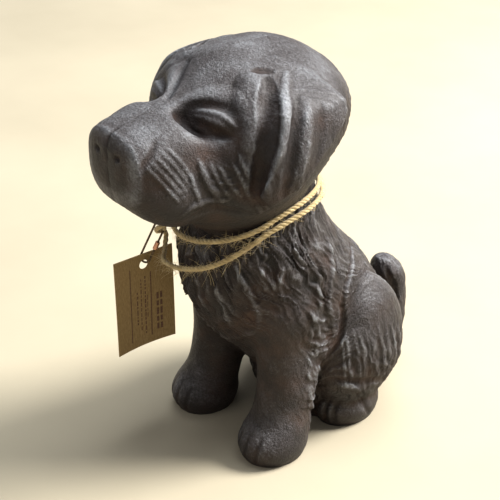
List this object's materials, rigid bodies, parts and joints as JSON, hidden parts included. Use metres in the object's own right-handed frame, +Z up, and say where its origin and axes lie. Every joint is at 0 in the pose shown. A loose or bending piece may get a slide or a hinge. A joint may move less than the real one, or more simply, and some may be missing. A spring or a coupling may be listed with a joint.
{
  "type": "still bank",
  "caption": "Sitting puppy coin bank: two hollow cast iron halves on one long screw, a slot in the back, and a doubled twine collar with a card tag on a wire link.",
  "frame": {"origin": "centre of the castings' plan, on the surface that the feet stand on", "axes": "+Z up, -Y the way the puppy faces, +X towards the puppy's left side; the halves meet on the X = 0 plane"},
  "size_m": [0.078, 0.14, 0.156],
  "materials": {
    "iron": "dark antique wax over raw sand casting",
    "screw_steel": "aged zinc",
    "jute": "twisted natural jute",
    "bronze_wire": "antique bronze",
    "copper_clasp": "copper plated",
    "kraft_card": "matt kraft card, printed rules"
  },
  "bodies": {
    "left_half": {"left_casting": "iron", "twine_left": "jute"},
    "right_half": {"right_casting": "iron", "twine_right": "jute", "twine_knot": "jute"},
    "screw": {"assembly_screw": "screw_steel"},
    "link": {"tag_link": "bronze_wire", "tag_link_clasp": "copper_clasp"},
    "tag": {"hang_tag": "kraft_card"}
  },
  "joints": [
    {"name": "halves_part", "type": "slide", "parent": "left_half", "child": "right_half", "axis": [-1, 0, 0], "range_m": [0, 0.005]},
    {"name": "screw_out", "type": "slide", "parent": "right_half", "child": "screw", "axis": [-1, 0, 0], "range_m": [0, 0.04]},
    {"name": "link_swing", "type": "hinge", "parent": "right_half", "child": "link", "pos_m": [-0.024, -0.033, 0.0815], "axis": [0.884, 0.3223, -0.3386], "range_deg": [-20, 5]},
    {"name": "tag_swing", "type": "hinge", "parent": "link", "child": "tag", "pos_m": [-0.027, -0.0378, 0.0691], "axis": [1, 0, 0], "range_deg": [-60, 3]}
  ]
}
